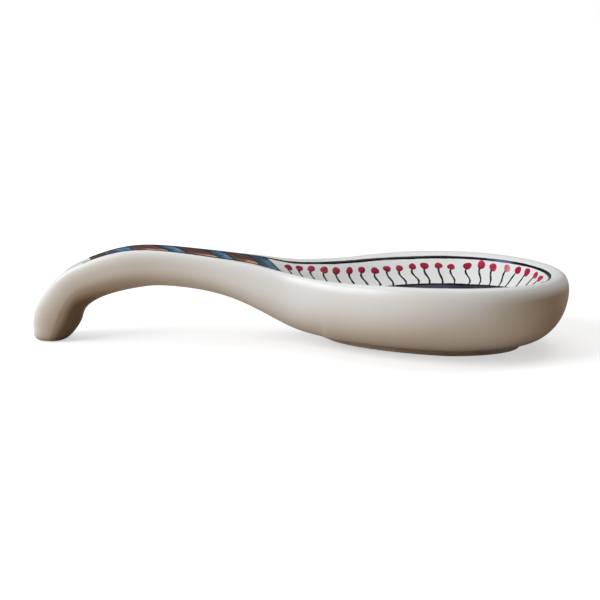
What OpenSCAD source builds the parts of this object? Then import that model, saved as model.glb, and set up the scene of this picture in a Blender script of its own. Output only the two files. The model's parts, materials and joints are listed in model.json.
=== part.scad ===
// A hand-made spoon rest of glazed stoneware: an egg-shaped bowl with a thick
// round lip, a foot ring under it, and a stout handle that arches up and bends
// down again to stand on its own tip. The inside is brushed with colour.
// +X runs along the piece towards the bowl's nose, +Z is up, the table is z = 0.

/* [Overall] */
// Length over all, from the handle's bend to the bowl's nose
overall_l = 254; // [200:1:320]
// Height of the handle's crown above the table
crown_h = 45; // [38:0.5:60]

/* [Bowl] */
// Width of the bowl over its bulge, at the widest place
bowl_w = 101; // [80:1:112]
// Height of the bowl's lip above the table
lip_h = 37; // [31:0.5:42]
// Depth of the bowl below its lip
bowl_depth = 26; // [16:0.5:28]
// How far the lip rolls outwards, from its crest to the bulge
lip_roll = 4.2; // [2:0.1:6]
// Height of the bulge above the table
bulge_h = 28.5; // [20:0.5:29]
// Distance from the bowl's nose back to its widest place
nose_l = 57; // [45:1:70]
// How far the lip dips at the nose
nose_dip = 1; // [0:0.1:3]

/* [Foot] */
// Width of the foot ring at its widest place
foot_w = 46; // [34:1:60]
// Length of the foot ring
foot_l = 94; // [70:1:98]
// Height of the foot ring
foot_h = 3; // [1.5:0.1:4]
// Width of the ring's rim that stands on the table
foot_rim_w = 6; // [4:0.5:9]
// Bevel along the ring's edges
foot_bevel = 0.6; // [0.2:0.1:1.2]

/* [Handle] */
// Width of the handle's flat top at the crown
handle_top_w = 16.5; // [12:0.5:22]
// How far the handle's side bulges out past the edge of its flat top
handle_roll = 2.8; // [1.5:0.1:4]

/* [Painted decoration] */
// Thickness of a brushed coat of colour
paint_t = 0.3; // [0.2:0.05:0.5]
// Width of the black line round the inside of the lip
rim_line_w = 1.6; // [0.6:0.1:2]
// Distance of that line from the crest of the lip
rim_line_inset = 4.1; // [2.5:0.1:5]
// Width of the line round the dark floor
floor_line_w = 0.9; // [0.4:0.1:1.5]
// Distance between two buds along the bowl's wall
bud_pitch = 6.1; // [5:0.1:9]
// Width of a bud
bud_w = 3.8; // [2.5:0.1:4.5]
// Height of a bud along the wall
bud_h = 3.8; // [2.5:0.1:4.5]
// Width of a bud's stem
stem_w = 0.9; // [0.6:0.1:1.4]
// How far a stem sways to either side
stem_sway = 0.7; // [0:0.1:1.5]
// Distance from one blue band of the handle to the next
band_pitch = 21.6; // [16:0.2:28]
// Width of a blue band
blue_band_w = 9.4; // [6:0.2:12]
// Width of the dark line between two bands
band_line_w = 0.6; // [0.4:0.1:1]

/* [Hidden] */

glaze_colour = [0.90, 0.88, 0.83];
foot_colour = [0.62, 0.50, 0.38];
line_colour = [0.05, 0.05, 0.07];
floor_colour = [0.24, 0.24, 0.30];
stem_colour = [0.16, 0.17, 0.16];
bud_colour = [0.55, 0.10, 0.20];
blue_colour = [0.26, 0.45, 0.58];
brown_colour = [0.37, 0.25, 0.22];

// Ribs are named by how far they lie along the way from nose to handle tip.
// The first ribs fan round the nose, a turn of 90 degrees in fan_n parts.
// Each later whole number is one row of rail_shares.
fan_n = 6;
fan_steps = 2;
rail_steps = 3;

// One row: top rail x, bottom rail x, as shares of the run back from the bowl's
// widest place to the bend; top z as shares of lip_h and of crown_h; bottom z
// as shares of foot_h and of crown_h; half width at the crest as shares of the
// bowl's and of the handle's; depth of the hollow as a share of bowl_depth;
// height of the bulge as a share of the bowl's.
rail_shares = [
    [0.0000, 0.0000, 1.000, 0.000, 1.0, 0.000, 1.000, 0.00, 1.00, 1.00],
    [0.0855, 0.0855, 0.996, 0.000, 1.0, 0.000, 0.965, 0.00, 1.00, 1.00],
    [0.1710, 0.1710, 0.986, 0.000, 1.0, 0.000, 0.845, 0.00, 0.93, 0.99],
    [0.2435, 0.2435, 0.970, 0.000, 1.0, 0.000, 0.700, 0.00, 0.74, 0.97],
    [0.3090, 0.3090, 0.903, 0.060, 1.0, 0.041, 0.560, 0.00, 0.45, 0.93],
    [0.3763, 0.3763, 0.684, 0.267, 1.0, 0.128, 0.400, 0.00, 0.16, 0.88],
    [0.4611, 0.4611, 0.400, 0.560, 0.5, 0.347, 0.250, 0.20, 0.00, 0.83],
    [0.5583, 0.5583, 0.000, 0.945, 0.0, 0.535, 0.060, 0.83, 0.00, 0.78],
    [0.6671, 0.6671, 0.000, 0.995, 0.0, 0.600, 0.000, 0.98, 0.00, 0.75],
    [0.7513, 0.7390, 0.000, 1.000, 0.0, 0.582, 0.000, 0.96, 0.00, 0.74],
    [0.8237, 0.8099, 0.000, 0.936, 0.0, 0.509, 0.000, 0.95, 0.00, 0.71],
    [0.8972, 0.8568, 0.000, 0.812, 0.0, 0.418, 0.000, 0.94, 0.00, 0.70],
    [0.9454, 0.8792, 0.000, 0.663, 0.0, 0.328, 0.000, 0.94, 0.00, 0.67],
    [0.9842, 0.8868, 0.000, 0.426, 0.0, 0.242, 0.000, 0.92, 0.00, 0.67],
    [0.9988, 0.8965, 0.000, 0.255, 0.0, 0.154, 0.000, 0.92, 0.00, 0.67],
    [0.9968, 0.9251, 0.000, 0.038, 0.0, 0.015, 0.000, 0.83, 0.00, 0.67],
    [0.9572, 0.9572, 0.000, 0.000, 0.0, 0.000, 0.000, 0.00, 0.00, 0.67]
];
rail_n = len(rail_shares) - 1;

// Where the clay of the bowl ends and the handle is luted on
joint_rib_n = fan_n + 6;
// Where the roll of the handle's side starts to die away towards the tip
tip_rib_n = fan_n + 12;
end_rib_n = fan_n + rail_n;
// Where the dark floor, the wall's pattern and the handle's bands end
floor_end_rib_n = fan_n + 14/3;
wall_end_rib_n = fan_n + 16/3;
bands_end_rib_n = fan_n + 32/3;

// Shares of the hollow's curve: its power, and how sharply it turns at the lip
hollow_power_share = 1.9;
lip_turn_share = 10;
// Least thickness of clay under the hollow
floor_min_t = 4;
// Length of the foot from its widest place to its nose, as a share of its length
foot_nose_share = 0.385;
// How blunt the foot's and the floor's rear ends are
foot_blunt_share = 0.62;
// The foot ring keeps this share of the bowl's flat base
foot_keep_share = 0.97;
// The base is tilted up towards the handle by this share of the run, and the ring
// under it dies away by this share of its height
base_tilt_share = 0.031;
foot_rise_share = 0.35;
// How much steeper than a quarter of an ellipse the belly meets the foot ring
belly_turn_share = 0.25;
foot_sides = 40;
// Half width of the dark floor, and of its rear end, as shares of the hollow's
floor_t_share = 0.608;
floor_tip_share = 0.04;
// The dark floor reaches further by this share at the nose
floor_nose_share = 0.11;
// Distance of the rim line from the crest, along the way, as shares of its inset
inset_shares = [[0, 1], [fan_n + 1, 1], [fan_n + 2, 0.82], [fan_n + 3, 0.68],
                [fan_n + 4.5, 0.68], [fan_n + 5.3, 0.85], [fan_n + 6, 0.7],
                [fan_n + 6.5, 0.48], [fan_n + 7, 0.12], [end_rib_n, 0.06]];
// Width of the rim line along the way, as shares of its full width
line_w_shares = [[0, 1], [fan_n + 2, 1], [fan_n + 5.5, 0.72], [end_rib_n, 0.5]];
// Counts of grid lines across the floor, the wall, the lip and the outside
floor_steps = 3;
wall_steps = 3;
lip_steps = 4;
belly_steps = 6;

// A bud sits this share of the way down from the rim line to the floor line
bud_t_share = 0.33;
// Buds differ in size by this share, and wander up and down by this share
bud_vary_share = 0.12;
bud_wander_share = 0.06;
bud_seed = 137;
bud_sides = 8;
// A stem is drawn in this many strokes, runs on past the floor line by a share of
// its height, and leans by a share of it
stem_strokes = 4;
stem_over_share = 0.1;
stem_lean_share = 0.55;
// Rib from which stems start to lean, and the ribs over which the lean grows
lean_rib_n = 5;
lean_ribs_n = 6;

// The blue bands: where the first one ends, as a share of the run back from the
// bowl's widest place, and the slant of all, sideways per width
band_n = 4;
band_first_share = 0.4213;
band_slant_share = -0.52;
// The bands' edges bow by this share of a band's width
band_bow_share = 0.09;
band_strokes = 2;

centre_x = overall_l/2 - nose_l;
run_l = centre_x + overall_l/2;
crest_front = nose_l - lip_roll;
crest_half = bowl_w/2 - lip_roll;
depth = min(bowl_depth, lip_h - foot_h - floor_min_t);
bulge_k = (bulge_h - foot_h)/(lip_h - foot_h);
base_front = foot_l*foot_nose_share;
base_back = foot_l - base_front;
band_first_x = centre_x - run_l*band_first_share;

function unit(v) = norm(v) > 0 ? v/norm(v) : [0, 0, 1];
function clamp(x, low, high) = max(low, min(high, x));
function steps(a, b, n) = [for (i = [0:n]) a + (b - a)*i/n];

// A smooth curve through four values, between the middle two
function curve(a, b, c, d, f) =
    (2*b + (c - a)*f + (2*a - 5*b + 4*c - d)*f*f + (3*b - a - 3*c + d)*f*f*f)/2;

// Row of the rails at a station that need not be whole. Ahead of the first row
// the curve is mirrored, so that the bowl's sides run on into the nose.
function rail_row(u) = u == round(u) ? rail_shares[u]
    : let (i = clamp(floor(u), 0, rail_n - 1), f = u - i, last = min(i + 2, rail_n))
    [for (c = [0:len(rail_shares[0]) - 1])
        let (b = rail_shares[i][c], d = rail_shares[i + 1][c],
             a = i > 0 ? rail_shares[i - 1][c] : c < 2 ? -d : d)
        curve(a, b, d, rail_shares[last][c], f)];

function top_rail(row) =
    [max(centre_x - run_l*row[0], -overall_l/2), 0, lip_h*row[2] + crown_h*row[3]];
// Height of the flat base, level round the nose and tilted up behind it
function base_z(x) = foot_h + base_tilt_share*max(0, centre_x - x);
// The underside follows the base for as long as the bowl is hollow
function bottom_rail(row) =
    let (x = centre_x - run_l*row[1], z = foot_h*row[4] + crown_h*row[5])
    [x, 0, max(z, row[8] > 0 ? base_z(x) : 0)];
function crest_w(row) = max(0, crest_half*row[6] + handle_top_w/2*row[7]);
function tip_fade(way) = sqrt(1 - pow(clamp((way - tip_rib_n)/(end_rib_n - tip_rib_n), 0, 1), 2));
function roll_w(row, way) =
    (handle_roll + (lip_roll - handle_roll)*clamp(row[6], 0, 1))*tip_fade(way);
// Half width of the flat base under the bowl, an egg with its nose forward
function base_half(x) =
    let (d = (centre_x - x)/base_back)
    d < 1 ? foot_w/2*pow(1 - d*d, foot_blunt_share) : 0;

// Share of the belly's width at the angle b below the bulge
function belly(b, base) = pow(cos(b), 1 + belly_turn_share*base/foot_w*2);

// The hollow's curve across the bowl: 0 at its middle, 1 at the crest
function hollow(t) =
    pow(t, hollow_power_share)
    *(1 + hollow_power_share/lip_turn_share*(1 - pow(t, lip_turn_share)));

// Point of the upper surface on a rib; t runs from 0 at the middle to 1 at the crest
function upper(way, side, t) = way <= fan_n
    ? let (a = 90*way/fan_n)
      [centre_x + crest_front*cos(a)*t, side*crest_half*sin(a)*t,
       lip_h - nose_dip*pow(cos(a)*t, 2) - depth*(1 - hollow(t))]
    : let (row = rail_row(way - fan_n), top = top_rail(row),
           up = unit(top - bottom_rail(row)), dip = max(0, row[8])*depth)
      top + [0, side*crest_w(row)*t, 0] - up*dip*(1 - hollow(t));

// Points down the outside of a rib, from just past the crest to the base's middle
function outside(way, side) = way <= fan_n
    ? let (a = 90*way/fan_n, out = [cos(a), side*sin(a), 0],
           crest = [crest_front*cos(a), side*crest_half*sin(a), 0],
           bulge = crest + lip_roll*out,
           base = [base_front*cos(a), side*foot_w/2*sin(a), 0],
           mid = [centre_x, 0, 0],
           lip_z = lip_h - nose_dip*pow(cos(a), 2))
      concat(
          [for (i = [1:lip_steps]) let (b = 90*i/lip_steps)
              mid + crest + (bulge - crest)*sin(b)
              + [0, 0, lip_z - (lip_z - bulge_h)*(1 - cos(b))]],
          [for (i = [1:belly_steps]) let (b = 90*i/belly_steps)
              mid + base + (bulge - base)*belly(b, foot_w/2)
              + [0, 0, foot_h + (bulge_h - foot_h)*(1 - sin(b))]],
          [mid + [0, 0, foot_h]])
    : let (row = rail_row(way - fan_n), top = top_rail(row), foot = bottom_rail(row),
           down = foot - top, k = bulge_k*row[9],
           crest = crest_w(row), bulge = crest + roll_w(row, way),
           base = base_half(foot[0]))
      concat(
          [for (i = [1:lip_steps]) let (b = 90*i/lip_steps)
              top + [0, side*(crest + (bulge - crest)*sin(b)), 0]
              + down*(1 - k)*(1 - cos(b))],
          [for (i = [1:belly_steps]) let (b = 90*i/belly_steps)
              foot + [0, side*(base + (bulge - base)*belly(b, base)), 0]
              - down*k*(1 - sin(b))],
          [foot]);

// Half width of the crest on a rib, along the rib's own direction
function rib_w(way) = way <= fan_n
    ? norm([crest_front*cos(90*way/fan_n), crest_half*sin(90*way/fan_n)])
    : max(crest_w(rail_row(way - fan_n)), handle_top_w/4);

// Grid lines over the upper surface of a rib, as shares of the way to the crest
function floor_t(way) =
    let (d = clamp((way - fan_n)/(floor_end_rib_n - fan_n), 0, 1))
    max(floor_tip_share, floor_t_share*pow(1 - pow(d, 2.4), foot_blunt_share)
        + floor_nose_share*pow(max(0, 1 - way/fan_n), 2));
function line_out_t(way) = 1 - rim_line_inset*lookup(way, inset_shares)/rib_w(way);
function line_in_t(way) =
    line_out_t(way) - rim_line_w*lookup(way, line_w_shares)/rib_w(way);
function wall_t(way) = floor_t(way) + floor_line_w/rib_w(way);
function grid_t(way) = concat(
    steps(0, floor_t(way), floor_steps),
    steps(wall_t(way), line_in_t(way), wall_steps),
    steps(line_out_t(way), 1, 2));
floor_line_i = floor_steps + 1;
rim_line_i = floor_line_i + wall_steps;

// Ribs between two places on the way, finer round the nose
function ways(a, b) = concat(
    [for (i = [0:fan_n*fan_steps]) let (w = i/fan_steps) if (w >= a && w <= b) w],
    [for (i = [1:rail_n*rail_steps]) let (w = fan_n + i/rail_steps) if (w >= a && w <= b) w]);

// Both sides of the piece, from its rear on the near side round to the far side
function both_sides(list) =
    let (n = len(list), first = list[0] > 0 ? 0 : 1)
    concat([for (i = [n - 1:-1:0]) [list[i], -1]], [for (i = [first:n - 1]) [list[i], 1]]);

// Two triangles of a grid cell, without those that have shrunk to a line
function cell(p, a, b, c, d) = [for (f = [[a, b, c], [a, c, d]])
    if (p[f[0]] != p[f[1]] && p[f[1]] != p[f[2]] && p[f[2]] != p[f[0]]) f];

// Flat end across two ribs that face each other, spread from their shared foot
function flat_end(p, a, b, m) = [for (j = [0:m - 3]) if (p[a + j + 1] != p[a + m - 1])
    each [[a + j, a + m - 1, a + j + 1], [b + j, b + j + 1, a + m - 1]]];

// A closed body whose ribs follow each other round, the last one joining the first
module ribbed_body(ribs) {
    rows = [for (r = ribs) concat(
        [for (t = grid_t(r[0])) upper(r[0], r[1], t)], outside(r[0], r[1]))];
    m = len(rows[0]);
    n = len(rows);
    points = [for (row = rows) for (p = row) p];
    polyhedron(points, [for (i = [0:n - 1]) let (a = i*m, b = (i + 1)%n*m)
        each points[a + 1] == points[b + 1] ? []
        : ribs[i][0] == ribs[(i + 1)%n][0] ? flat_end(points, a, b, m)
        : [for (j = [0:m - 2]) each cell(points, a + j, b + j, b + j + 1, a + j + 1)]],
        convexity = 6);
}

// Direction in which a coat lies on the upper surface
function coat_up(way, side, t) =
    let (e = 0.02,
         along = upper(way + e, side, t) - upper(max(way - e, 0), side, t),
         across = t > 0 ? upper(way, side, min(t + e, 1)) - upper(way, side, max(t - e, 0))
                        : [0, side, 0],
         n = t > 0 || way > fan_n ? cross(along, across) : [0, 0, 1])
    unit(n[2] < 0 ? -n : n);

// A coat of colour over the grid cells k0 to k1 of the given ribs. Where it
// starts at the middle line, k0 = 0, its two halves are one piece.
module coat(ribs, k0, k1) {
    rows = [for (r = ribs) let (ts = grid_t(r[0])) concat(
        [for (k = [k0:k1]) upper(r[0], r[1], ts[k])],
        [for (k = [k1:-1:k0]) upper(r[0], r[1], ts[k])
            + paint_t*coat_up(r[0], r[1], ts[k])])];
    m = len(rows[0]);
    n = len(rows);
    points = [for (row = rows) for (p = row) p];
    ends = [for (i = [0, n - 1]) for (j = [0:k1 - k0 - 1])
        let (a = i*m + j, b = i*m + m - 1 - j)
        each i > 0 ? cell(points, a, a + 1, b - 1, b) : cell(points, b, b - 1, a + 1, a)];
    sides = [for (i = [0:n - 2]) for (j = [0:m - (k0 > 0 ? 1 : 2)])
        let (a = i*m + j, b = i*m + (j + 1)%m)
        each cell(points, a, b, b + m, a + m)];
    polyhedron(points, concat(sides, ends), convexity = 6);
}

module bowl() {
    color(glaze_colour) ribbed_body(both_sides(ways(0, joint_rib_n)));
}

module handle() {
    color(glaze_colour) ribbed_body(both_sides(ways(joint_rib_n, end_rib_n)));
}

// Outline of the foot ring, drawn in by the given distance
function foot_outline(inset) = [for (i = [0:foot_sides - 1])
    let (a = 360*i/foot_sides, front = cos(a) > 0,
         l = (front ? base_front : base_back)*foot_keep_share - inset,
         w = foot_w/2*foot_keep_share - inset,
         y = front ? sin(a) : sign(sin(a))*pow(abs(sin(a)), 2*foot_blunt_share))
    [centre_x + l*cos(a), w*y]];

module foot_ring() {
    profile = [[foot_bevel, 0], [0, foot_bevel], [0, foot_h], [foot_rim_w, foot_h],
               [foot_rim_w, foot_bevel], [foot_rim_w - foot_bevel, 0]];
    loops = [for (p = profile) [for (q = foot_outline(p[0]))
        let (d = clamp((centre_x - q[0])/base_back, 0, 1),
             rise = foot_rise_share*foot_h*d)
        [q[0], q[1], base_z(q[0]) - (foot_h - rise)*(1 - p[1]/foot_h)]]];
    n = len(loops[0]);
    m = len(loops);
    points = [for (l = loops) for (p = l) p];
    color(foot_colour) polyhedron(points, [for (j = [0:m - 1]) for (i = [0:n - 1])
        let (a = j*n + i, b = j*n + (i + 1)%n, up = (j + 1)%m*n - j*n)
        each cell(points, a, a + up, b + up, b)], convexity = 6);
}

module rim_line() {
    color(line_colour)
        coat(both_sides(ways(0, bands_end_rib_n)), rim_line_i, rim_line_i + 1);
}

module floor_panel() {
    list = ways(0, floor_end_rib_n);
    color(floor_colour) coat(both_sides(list), 0, floor_steps);
}

module floor_line() {
    color(line_colour) coat(both_sides(ways(0, floor_end_rib_n)), floor_steps, floor_line_i);
}

// Running sums of a list
function sums(list, i = 0, sum = 0) = i < len(list)
    ? concat([sum + list[i]], sums(list, i + 1, sum + list[i])) : [];

// Height of a bud on the wall, given as t, wandering a little from bud to bud
function bud_t(way, wander) =
    let (share = bud_t_share + bud_wander_share*wander)
    line_in_t(way)*(1 - share) + wall_t(way)*share;

// Length along the row of buds from the nose to each rib, to space them evenly
bud_ways = ways(0, wall_end_rib_n);
bud_line = [for (w = bud_ways) upper(w, 1, bud_t(w, 0))];
bud_sums = sums([for (i = [0:len(bud_ways) - 1])
    i > 0 ? norm(bud_line[i] - bud_line[i - 1]) : 0]);
buds_l = bud_sums[len(bud_sums) - 1];
bud_n = round(buds_l/bud_pitch);

// Each bud: its rib, its wander, two differences in size and a turn, -1 to 1
buds_list = [for (i = [0:bud_n - 1]) concat(
    [lookup((i + 1/2)*buds_l/bud_n, [for (j = [0:len(bud_ways) - 1])
        [bud_sums[j], bud_ways[j]]])],
    rands(-1, 1, 4, bud_seed + i))];

// Unit steps towards the nose and up the wall, seen from above
function wall_axes(way, side, t) =
    let (e = 0.02,
         ahead = unit(upper(max(way - e, 0), side, t) - upper(way + e, side, t)),
         rise = unit(upper(way, side, t + e) - upper(way, side, t - e)))
    [[ahead[0], ahead[1]], [rise[0], rise[1]]];

// Place of a band's edge at the height y across the handle, bowed a little
function band_edge(x, y) = [x + band_slant_share*y
    + band_bow_share*blue_band_w*(1 - pow(y/handle_top_w, 2)), y];

// Both sides' buds, without those that the handle's last band would touch
bud_places = [for (b = buds_list) for (side = [-1, 1])
    let (at = upper(b[0], side, bud_t(b[0], b[1])))
    if (at[0] - bud_w > band_edge(band_first_x + band_line_w, at[1])[0]) [b, side]];

// A convex outline carried up through every coat it has to cut
module cutter(outline) {
    hull() for (z = [foot_h, crown_h + lip_h])
        translate([0, 0, z]) linear_extrude(paint_t) polygon(outline);
}

// A brush stroke of one width along a line of points, as cutters end to end
module stroke(line, w) {
    last = len(line) - 1;
    sides = [for (i = [0:last])
        let (d = unit(line[min(i + 1, last)] - line[max(i - 1, 0)]))
        [line[i] + w/2*[-d[1], d[0]], line[i] - w/2*[-d[1], d[0]]]];
    for (i = [0:last - 1])
        cutter([sides[i][0], sides[i][1], sides[i + 1][1], sides[i + 1][0]]);
}

module bud_cutter(b, side) {
    t = bud_t(b[0], b[1]);
    at = upper(b[0], side, t);
    axes = wall_axes(b[0], side, t);
    w = bud_w*(1 + bud_vary_share*b[2])/2;
    h = bud_h*(1 + bud_vary_share*b[3])/2;
    cutter([for (i = [0:bud_sides - 1]) let (a = 360*(i + b[4]/2)/bud_sides)
        [at[0], at[1]] + axes[0]*w*cos(a) + axes[1]*h*sin(a)]);
}

module wall_coat() {
    coat(both_sides(ways(0, wall_end_rib_n)), floor_line_i, rim_line_i);
}

module buds() {
    color(bud_colour) intersection() {
        wall_coat();
        union() for (b = bud_places) bud_cutter(b[0], b[1]);
    }
}

// Middle of a stem, d from 0 at its bud to 1 at the floor line
function stem_point(b, side, d) =
    let (t0 = bud_t(b[0], b[1]), t1 = wall_t(b[0]), t = t0 + (t1 - t0)*d,
         at = upper(b[0], side, t), axes = wall_axes(b[0], side, t),
         fall = norm(upper(b[0], side, t0) - upper(b[0], side, t1)),
         lean = stem_lean_share*fall*clamp((b[0] - lean_rib_n)/lean_ribs_n, 0, 1))
    [at[0], at[1]] + axes[0]*(lean*d + stem_sway*sin(360*d)*(1 + bud_vary_share*b[2]));

module stems() {
    color(stem_colour) difference() {
        intersection() {
            wall_coat();
            union() for (b = bud_places) stroke([for (i = [0:stem_strokes])
                stem_point(b[0], b[1], i/stem_strokes*(1 + stem_over_share))], stem_w);
        }
        union() for (b = bud_places) bud_cutter(b[0], b[1]);
    }
}

// The whole upper surface inside the rim line, for the bands to be cut from
module inner_coat() {
    coat(both_sides(ways(0, bands_end_rib_n)), 0, rim_line_i);
}

// Slanting band between two places along the handle, in strokes across it
module band_cutter(x0, x1) {
    h = handle_top_w;
    for (i = [0:band_strokes - 1]) {
        y0 = h - 2*h*i/band_strokes;
        y1 = h - 2*h*(i + 1)/band_strokes;
        cutter([band_edge(x0, y0), band_edge(x1, y0), band_edge(x1, y1), band_edge(x0, y1)]);
    }
}

module blue_bands() {
    color(blue_colour) intersection() {
        inner_coat();
        union() for (i = [0:band_n - 1]) let (x = band_first_x - i*band_pitch)
            band_cutter(x - blue_band_w, x);
    }
}

module brown_bands() {
    color(brown_colour) intersection() {
        inner_coat();
        union() for (i = [0:band_n - 1])
            let (x = band_first_x - i*band_pitch - blue_band_w)
            band_cutter(x - band_pitch + blue_band_w + band_line_w, x - band_line_w);
    }
}

module band_lines() {
    color(line_colour) intersection() {
        inner_coat();
        union() for (i = [0:band_n - 1]) let (x = band_first_x - i*band_pitch) {
            band_cutter(x, x + band_line_w);
            band_cutter(x - blue_band_w - band_line_w, x - blue_band_w);
        }
    }
}

bowl();
handle();
foot_ring();
rim_line();
floor_panel();
floor_line();
stems();
buds();
blue_bands();
brown_bands();
band_lines();
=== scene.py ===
# %% [markdown]
# # A hand-painted spoon rest
# The frame holds the imported solids: an egg-shaped bowl, its arched handle, a
# foot ring and the coats of colour. We load it first.

# %% Load the frame
import json

import bpy
import bmesh
import numpy as np
from mathutils import Matrix

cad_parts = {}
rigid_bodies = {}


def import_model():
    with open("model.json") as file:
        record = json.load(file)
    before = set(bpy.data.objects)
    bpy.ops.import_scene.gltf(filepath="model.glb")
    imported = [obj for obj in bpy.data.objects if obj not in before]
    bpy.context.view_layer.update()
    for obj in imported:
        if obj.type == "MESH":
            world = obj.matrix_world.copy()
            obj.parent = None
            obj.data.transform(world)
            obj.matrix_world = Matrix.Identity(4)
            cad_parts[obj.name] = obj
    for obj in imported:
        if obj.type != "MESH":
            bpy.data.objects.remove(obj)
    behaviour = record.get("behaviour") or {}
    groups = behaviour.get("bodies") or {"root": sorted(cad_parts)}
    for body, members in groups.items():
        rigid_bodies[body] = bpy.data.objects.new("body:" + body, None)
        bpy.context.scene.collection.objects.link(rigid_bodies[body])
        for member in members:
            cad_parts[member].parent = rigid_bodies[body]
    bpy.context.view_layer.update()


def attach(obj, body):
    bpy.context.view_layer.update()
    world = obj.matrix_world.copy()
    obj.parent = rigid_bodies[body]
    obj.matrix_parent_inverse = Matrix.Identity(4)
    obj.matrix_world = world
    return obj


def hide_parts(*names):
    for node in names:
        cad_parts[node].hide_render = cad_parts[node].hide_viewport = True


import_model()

# %% [markdown]
# ## The shape as rows of numbers
# Seen from the side, the piece is a top line and a bottom line. A row gives both
# at one place, and the widths there. The rows run from the bowl's widest place
# back over the handle to its tip. Sizes are in millimetres until a mesh is made.

# %% Sizes and rows
LENGTH, CROWN, BOWL_W, LIP, DEPTH = 254.0, 45.0, 101.0, 37.0, 26.0
LIP_ROLL, BULGE, NOSE, NOSE_DIP = 4.2, 28.5, 57.0, 1.0
FOOT_W, FOOT_L, FOOT_H, FOOT_RIM = 46.0, 94.0, 3.0, 6.0
TOP_W, SIDE_ROLL = 16.5, 2.8
MID_X = LENGTH / 2 - NOSE
RUN = MID_X + LENGTH / 2
CREST_FRONT, CREST_HALF = NOSE - LIP_ROLL, BOWL_W / 2 - LIP_ROLL
BULGE_K = (BULGE - FOOT_H) / (LIP - FOOT_H)
BASE_FRONT = FOOT_L * 0.385
BASE_BACK = FOOT_L - BASE_FRONT
# Behind the bowl's widest place the base and the ring's underside rise, per mm.
# From BEND_FROM on, over BEND_LONG, the base bends down by BEND per mm squared.
BASE_RISE, RING_RISE = 0.031, 0.037
BEND_FROM, BEND_LONG, BEND = 36.0, 22.0, 0.0022

# top x, bottom x, top z of lip and of crown, bottom z of foot and of crown,
# half width of bowl and of handle, depth of the hollow, height of the bulge
ROWS = np.array([
    [0.0000, 0.0000, 1.000, 0.000, 1.0, 0.000, 1.000, 0.00, 1.00, 1.00],
    [0.0855, 0.0855, 0.996, 0.000, 1.0, 0.000, 0.965, 0.00, 1.00, 1.00],
    [0.1710, 0.1710, 0.986, 0.000, 1.0, 0.000, 0.845, 0.00, 0.93, 0.99],
    [0.2435, 0.2435, 0.970, 0.000, 1.0, 0.000, 0.700, 0.00, 0.74, 0.97],
    [0.3090, 0.3090, 0.903, 0.060, 1.0, 0.041, 0.560, 0.00, 0.45, 0.93],
    [0.3763, 0.3763, 0.684, 0.267, 1.0, 0.128, 0.400, 0.00, 0.16, 0.88],
    [0.4611, 0.4611, 0.400, 0.560, 0.5, 0.347, 0.250, 0.20, 0.00, 0.83],
    [0.5583, 0.5583, 0.000, 0.945, 0.0, 0.535, 0.060, 0.83, 0.00, 0.78],
    [0.6671, 0.6671, 0.000, 0.995, 0.0, 0.600, 0.000, 0.98, 0.00, 0.75],
    [0.7513, 0.7390, 0.000, 1.000, 0.0, 0.582, 0.000, 0.96, 0.00, 0.74],
    [0.8237, 0.8099, 0.000, 0.936, 0.0, 0.509, 0.000, 0.95, 0.00, 0.71],
    [0.8972, 0.8568, 0.000, 0.812, 0.0, 0.418, 0.000, 0.94, 0.00, 0.70],
    [0.9454, 0.8792, 0.000, 0.663, 0.0, 0.328, 0.000, 0.94, 0.00, 0.67],
    [0.9842, 0.8868, 0.000, 0.426, 0.0, 0.242, 0.000, 0.92, 0.00, 0.67],
    [0.9988, 0.8965, 0.000, 0.255, 0.0, 0.154, 0.000, 0.92, 0.00, 0.67],
    [0.9968, 0.9251, 0.000, 0.038, 0.0, 0.015, 0.000, 0.83, 0.00, 0.67],
    [0.9572, 0.9572, 0.000, 0.000, 0.0, 0.000, 0.000, 0.00, 0.00, 0.67]])
FAN = 6.0                      # the nose is a fan of ribs, 15 degrees for each 1
END = FAN + len(ROWS) - 1      # a rib's number at the handle's tip
BASE_RIBS, THIN_RIBS = 5.5, 12.0     # behind the fan: base ends, roll thins out
print("rows:", len(ROWS), "ribs run from 0 at the nose to", END, "at the tip")

# %% [markdown]
# ## One smooth curve through all rows
# A glossy glaze shows every kink, so the rows are joined by a cubic spline whose
# slope and bend both run on through each row. Its slopes m solve
# m[i-1] + 4 m[i] + m[i+1] = 3 (y[i+1] - y[i-1]). At the bowl's widest place
# widths and heights have no slope, so that the sides run on into the nose.

# %% The spline
def spline_slopes(rows):
    """Slopes at the rows: the tridiagonal system above, for all columns at once.
    Its ends are free; but all columns after the two x start with no slope."""
    n = len(rows)
    beside = np.ones(n - 1)
    a = np.diag(np.full(n, 4.0)) + np.diag(beside, 1) + np.diag(beside, -1)
    b = np.zeros_like(rows)
    b[1:-1] = 3 * (rows[2:] - rows[:-2])
    a[0, :2], a[-1, -2:] = (2, 1), (1, 2)
    b[0], b[-1] = 3 * (rows[1] - rows[0]), 3 * (rows[-1] - rows[-2])
    free = np.linalg.solve(a, b)
    a[0, :2], b[0] = (1, 0), 0
    level = np.linalg.solve(a, b)
    return np.hstack([free[:, :2], level[:, 2:]])


SLOPES = spline_slopes(ROWS)


def rail(u):
    """Row of numbers at u: y0 h00 + m0 h10 + y1 h01 + m1 h11, Hermite's cubic."""
    u = np.clip(np.asarray(u, float), 0, len(ROWS) - 1)
    i = np.minimum(u.astype(int), len(ROWS) - 2)
    f = (u - i)[..., None]
    return (ROWS[i] * (1 + 2 * f) * (1 - f) ** 2 + SLOPES[i] * f * (1 - f) ** 2
            + ROWS[i + 1] * f * f * (3 - 2 * f) + SLOPES[i + 1] * f * f * (f - 1))


def hollow(t):
    """Curve across the bowl, 0 at its middle and 1 at the crest:
    t^1.9 (1 + 0.19 (1 - t^10)), level at both ends."""
    return t ** 1.9 * (1 + 0.19 * (1 - t ** 10))


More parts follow.
